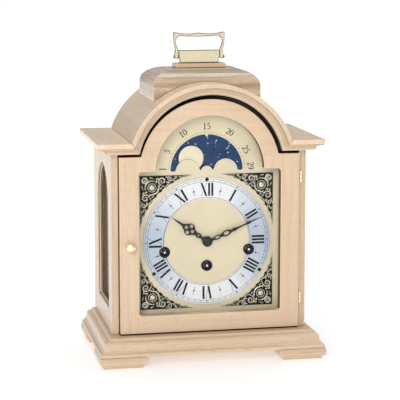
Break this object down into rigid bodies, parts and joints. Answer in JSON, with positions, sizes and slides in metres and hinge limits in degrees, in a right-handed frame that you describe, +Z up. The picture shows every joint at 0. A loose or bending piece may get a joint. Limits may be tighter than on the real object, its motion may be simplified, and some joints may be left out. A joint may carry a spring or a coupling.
{
  "type": "key-wound mantel clock",
  "caption": "Wooden mantel clock with a glazed arched front door, moon-phase dial, bell top with a brass bail handle, glazed sides and a rear door over a spring-driven movement.",
  "frame": {"origin": "on the surface it stands on, under the middle of the bounding box", "axes": "+X to the right seen from the front, -Y out of the dial, +Z up"},
  "size_m": [0.2524, 0.1704, 0.3574],
  "materials": {
    "pale_wood": "satin waxed, fine straight grain",
    "inner_board": "plain plywood",
    "brass": "polished and lacquered",
    "cream_dial": "cream satin paint",
    "silvered_ring": "brushed silver with black printed figures",
    "spandrel_relief": "gilt scrollwork on a black ground",
    "moon_blue": "painted night sky with two moons",
    "blackened_steel": "blackened",
    "steel": "plain",
    "glass": "clear polished"
  },
  "bodies": {
    "case": {"base_plinth": "pale_wood", "foot_front_left": "pale_wood", "foot_front_right": "pale_wood", "foot_rear_left": "pale_wood", "foot_rear_right": "pale_wood", "side_panel_left": "pale_wood", "side_panel_right": "pale_wood", "cornice_mould_front": "pale_wood", "cornice_mould_left": "pale_wood", "cornice_mould_right": "pale_wood", "shoulder_board_left": "pale_wood", "shoulder_board_right": "pale_wood", "hood_barrel": "pale_wood", "bell_top": "pale_wood", "handle_platform": "pale_wood", "back_frame": "pale_wood", "dial_mask": "inner_board", "seat_board": "inner_board", "handle_pedestal": "brass", "handle_pivot_left": "brass", "handle_pivot_right": "brass", "door_hinge_lower_case_leaf": "brass", "door_hinge_upper_case_leaf": "brass", "movement_front_plate": "brass", "movement_back_plate": "brass", "back_hinge_frame_leaf": "brass", "dial_plate": "cream_dial", "chapter_ring": "silvered_ring", "spandrel_lower_left": "spandrel_relief", "spandrel_lower_right": "spandrel_relief", "spandrel_upper_left": "spandrel_relief", "spandrel_upper_right": "spandrel_relief", "winding_collar_strike": "blackened_steel", "winding_collar_time": "blackened_steel", "winding_collar_chime": "blackened_steel", "gong_rods": "blackened_steel", "side_glass_left": "glass", "side_glass_right": "glass"},
    "front_door": {"door_frame": "pale_wood", "door_glass": "glass", "glazing_bead": "pale_wood", "door_knob": "brass", "door_hinge_lower_door_leaf": "brass", "door_hinge_upper_door_leaf": "brass"},
    "bail": {"handle_bail": "brass"},
    "back_door": {"back_door": "pale_wood", "back_door_pull": "brass", "back_hinge_door_leaf": "brass"},
    "minute_train": {"minute_hand": "blackened_steel", "hand_nut": "blackened_steel", "minute_arbor": "brass"},
    "hour_train": {"hour_hand": "blackened_steel", "hour_pipe_wheel": "brass"},
    "motion_work": {"motion_wheel": "brass"},
    "moon": {"moon_disc": "moon_blue"},
    "strike_spring": {"strike_barrel": "brass"},
    "time_spring": {"time_barrel": "brass"},
    "chime_spring": {"chime_barrel": "brass"},
    "balance": {"balance_wheel": "brass"},
    "hammers": {"hammer_rack": "steel"}
  },
  "joints": [
    {"name": "front_door_hinge", "type": "hinge", "parent": "case", "child": "front_door", "pos_m": [0.102, -0.056, 0.065], "axis": [0, 0, 1], "range_deg": [0, 110]},
    {"name": "bail_swing", "type": "hinge", "parent": "case", "child": "bail", "pos_m": [0, 0.0045, 0.33], "axis": [1, 0, 0], "range_deg": [-98, 98]},
    {"name": "back_door_hinge", "type": "hinge", "parent": "case", "child": "back_door", "pos_m": [0.07165, 0.0841, 0.09], "axis": [0, 0, -1], "range_deg": [0, 115]},
    {"name": "minute_turn", "type": "hinge", "parent": "case", "child": "minute_train", "pos_m": [0, -0.04, 0.1294], "axis": [0, 1, 0], "continuous": true},
    {"name": "hour_turn", "type": "hinge", "parent": "case", "child": "hour_train", "pos_m": [0, -0.04, 0.1294], "axis": [0, 1, 0], "continuous": true},
    {"name": "motion_work_turn", "type": "hinge", "parent": "case", "child": "motion_work", "pos_m": [0, -0.028, 0.1494], "axis": [0, 1, 0], "continuous": true},
    {"name": "moon_turn", "type": "hinge", "parent": "case", "child": "moon", "pos_m": [0, -0.038, 0.2075], "axis": [0, 1, 0], "continuous": true},
    {"name": "strike_winding", "type": "hinge", "parent": "case", "child": "strike_spring", "pos_m": [-0.0475, -0.038, 0.1184], "axis": [0, 1, 0], "continuous": true},
    {"name": "time_winding", "type": "hinge", "parent": "case", "child": "time_spring", "pos_m": [0, -0.038, 0.1018], "axis": [0, 1, 0], "continuous": true},
    {"name": "chime_winding", "type": "hinge", "parent": "case", "child": "chime_spring", "pos_m": [0.0475, -0.038, 0.1184], "axis": [0, 1, 0], "continuous": true},
    {"name": "balance_swing", "type": "hinge", "parent": "case", "child": "balance", "pos_m": [0, 0.02, 0.176], "axis": [0, 1, 0], "range_deg": [-270, 270]},
    {"name": "hammer_lift", "type": "hinge", "parent": "case", "child": "hammers", "pos_m": [-0.04, 0.014, 0.084], "axis": [0, -1, 0], "range_deg": [0, 20]}
  ],
  "couplings": [
    {"joint": "hour_turn", "follows": "minute_turn", "ratio": 0.083333},
    {"joint": "motion_work_turn", "follows": "minute_turn", "ratio": -0.33333},
    {"joint": "moon_turn", "follows": "minute_turn", "ratio": 0.00070621}
  ]
}
